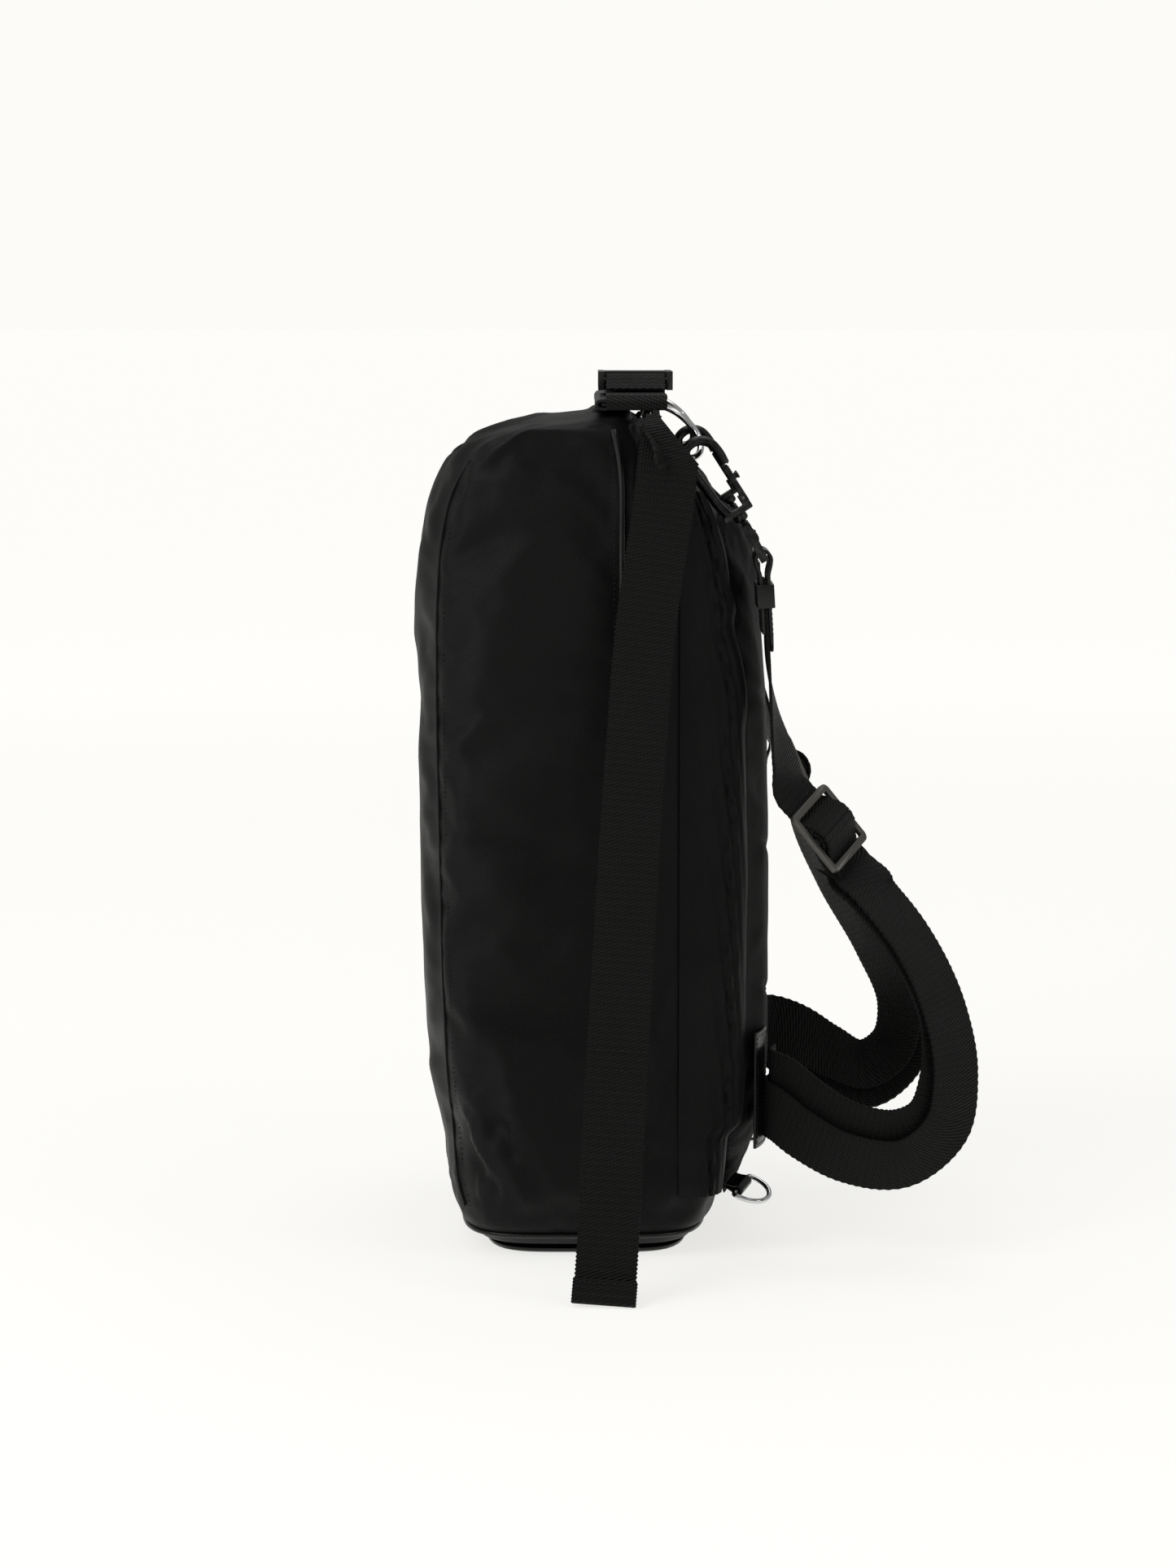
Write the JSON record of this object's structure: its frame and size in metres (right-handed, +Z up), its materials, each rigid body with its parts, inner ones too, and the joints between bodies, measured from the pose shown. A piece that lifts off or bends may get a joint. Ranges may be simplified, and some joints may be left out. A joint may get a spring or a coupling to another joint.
{
  "type": "rope storage bag",
  "caption": "Tall soft upright bag with a rolled and buckled top, padded back, clip-on adjustable shoulder straps, chrome rings and a long webbing tail.",
  "frame": {"origin": "middle of the base's underside, on the floor", "axes": "+Z up, +X towards the back where the shoulder straps are, Y across the width"},
  "size_m": [0.3564, 0.4, 0.5661],
  "materials": {
    "twill": "matte twill weave",
    "webbing": "ribbed narrow weave",
    "leather": "semi-gloss, fine grain",
    "pad": "matte twill over foam",
    "chrome": "polished",
    "black_metal": "black, satin",
    "grey_metal": "dark grey, satin",
    "black_plastic": "moulded, fine texture",
    "board": "smooth sheet",
    "label": "woven tape"
  },
  "bodies": {
    "bag": {"anchor_patch_far": "leather", "anchor_patch_near": "leather", "back_pad": "pad", "base_panel": "leather", "base_piping": "leather", "base_stiffener": "board", "buckle_female": "black_plastic", "care_label": "label", "closure_roll": "twill", "closure_strap_far": "webbing", "closure_strap_near": "webbing", "corner_loop_far": "leather", "corner_loop_near": "leather", "leather_tab_far": "leather", "leather_tab_near": "leather", "main_shell": "twill", "ring_loop_far": "webbing", "ring_loop_near": "webbing", "side_piping_far": "leather", "side_piping_near": "leather", "strap_inner_far": "webbing", "strap_inner_near": "webbing", "strap_outer_far": "webbing", "strap_outer_near": "webbing", "tail_webbing": "webbing"},
    "buckle_plug": {"buckle_male": "black_plastic"},
    "corner_d_far": {"corner_ring_far": "chrome"},
    "corner_d_near": {"corner_ring_near": "chrome"},
    "clip_far": {"gate_rivet_far": "grey_metal", "hook_far": "black_metal"},
    "clip_near": {"gate_rivet_near": "grey_metal", "hook_near": "black_metal"},
    "bail_far": {"hook_bail_far": "black_metal"},
    "bail_near": {"hook_bail_near": "black_metal"},
    "gate_far": {"hook_gate_far": "black_metal"},
    "gate_near": {"hook_gate_near": "black_metal"},
    "keeper_far_band": {"keeper_far": "leather"},
    "keeper_near_band": {"keeper_near": "leather"},
    "ring_far": {"o_ring_far": "chrome"},
    "ring_near": {"o_ring_near": "chrome"},
    "adjuster_far": {"slider_far": "grey_metal"},
    "adjuster_near": {"slider_near": "grey_metal"}
  },
  "joints": [
    {"name": "buckle_release", "type": "slide", "parent": "bag", "child": "buckle_plug", "axis": [0, 1, 0], "range_m": [0, 0.028], "deforming": ["closure_strap_far"]},
    {"name": "ring_near_swing", "type": "hinge", "parent": "bag", "child": "ring_near", "pos_m": [0.03855, -0.104, 0.5435], "axis": [0.3335, 0.866, 0.3725], "range_deg": [-1, 1]},
    {"name": "bail_near_tilt", "type": "hinge", "parent": "bag", "child": "bail_near", "pos_m": [0.11088, -0.104, 0.45031], "axis": [0, 1, 0], "range_deg": [-0.7, 0.4]},
    {"name": "clip_near_swivel", "type": "hinge", "parent": "bail_near", "child": "clip_near", "pos_m": [0.10078, -0.104, 0.46929], "axis": [0.5399, 0, -0.8418], "range_deg": [-2, 12]},
    {"name": "gate_near_open", "type": "hinge", "parent": "clip_near", "child": "gate_near", "pos_m": [0.09834, -0.104, 0.48792], "axis": [0, -1, 0], "range_deg": [0, 22], "stiffness_Nm_per_rad": 0.06},
    {"name": "adjuster_near_slide", "type": "slide", "parent": "bag", "child": "adjuster_near", "axis": [0.6298, 0, -0.7768], "range_m": [-0.006, 0.006], "deforming": ["strap_outer_near", "strap_inner_near"]},
    {"name": "keeper_near_slide", "type": "slide", "parent": "bag", "child": "keeper_near_band", "axis": [0.06, 0, -0.9982], "range_m": [-0.003, 0.01]},
    {"name": "corner_d_near_swing", "type": "hinge", "parent": "bag", "child": "corner_d_near", "pos_m": [0.10053, -0.084, 0.038], "axis": [0.4212, 0.8624, 0.2808], "range_deg": [-20, 45]},
    {"name": "ring_far_swing", "type": "hinge", "parent": "bag", "child": "ring_far", "pos_m": [0.03855, 0.104, 0.5435], "axis": [0.3335, -0.866, 0.3725], "range_deg": [-1, 1]},
    {"name": "bail_far_tilt", "type": "hinge", "parent": "bag", "child": "bail_far", "pos_m": [0.11088, 0.104, 0.45031], "axis": [0, 1, 0], "range_deg": [-0.7, 0.4]},
    {"name": "clip_far_swivel", "type": "hinge", "parent": "bail_far", "child": "clip_far", "pos_m": [0.10078, 0.104, 0.46929], "axis": [0.5399, 0, -0.8418], "range_deg": [-12, 2]},
    {"name": "gate_far_open", "type": "hinge", "parent": "clip_far", "child": "gate_far", "pos_m": [0.09834, 0.104, 0.48792], "axis": [0, -1, 0], "range_deg": [0, 22], "stiffness_Nm_per_rad": 0.06},
    {"name": "adjuster_far_slide", "type": "slide", "parent": "bag", "child": "adjuster_far", "axis": [0.3998, 0, -0.9166], "range_m": [-0.006, 0.006], "deforming": ["strap_outer_far", "strap_inner_far"]},
    {"name": "keeper_far_slide", "type": "slide", "parent": "bag", "child": "keeper_far_band", "axis": [0.06, 0, -0.9982], "range_m": [-0.003, 0.01]},
    {"name": "corner_d_far_swing", "type": "hinge", "parent": "bag", "child": "corner_d_far", "pos_m": [0.10053, 0.084, 0.038], "axis": [0.4212, -0.8624, 0.2808], "range_deg": [-20, 45]}
  ]
}
